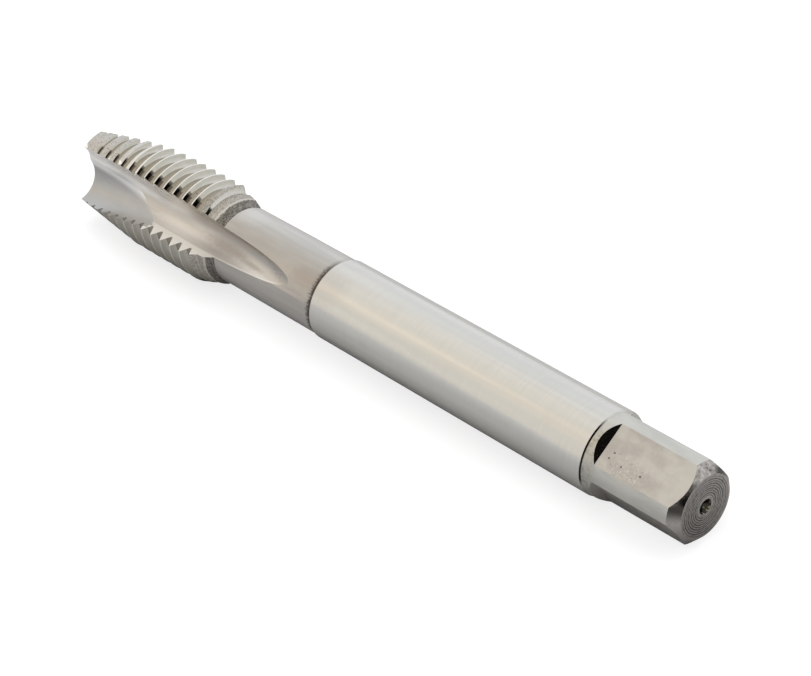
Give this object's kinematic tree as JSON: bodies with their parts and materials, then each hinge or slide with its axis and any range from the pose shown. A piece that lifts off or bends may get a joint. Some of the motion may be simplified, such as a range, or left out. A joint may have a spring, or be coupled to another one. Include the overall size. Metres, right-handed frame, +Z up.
{
  "type": "thread tap",
  "caption": "Long-shank machine tap for right-hand internal threads: driving square, ground shank, and a fluted head whose tapered spiral point pushes the chips ahead through the hole.",
  "frame": {"origin": "centre of the end face behind the driving square, on the axis of the tap", "axes": "+X runs along the axis from the driving square to the cutting tip, +Z is up as the tap lies on a flat surface, +Y completes the right-handed frame"},
  "size_m": [0.11, 0.014, 0.0133],
  "materials": {
    "ground_steel": "bright ground high speed steel with fine grinding lines"
  },
  "bodies": {
    "root": {"tap_body": "ground_steel"}
  },
  "joints": []
}
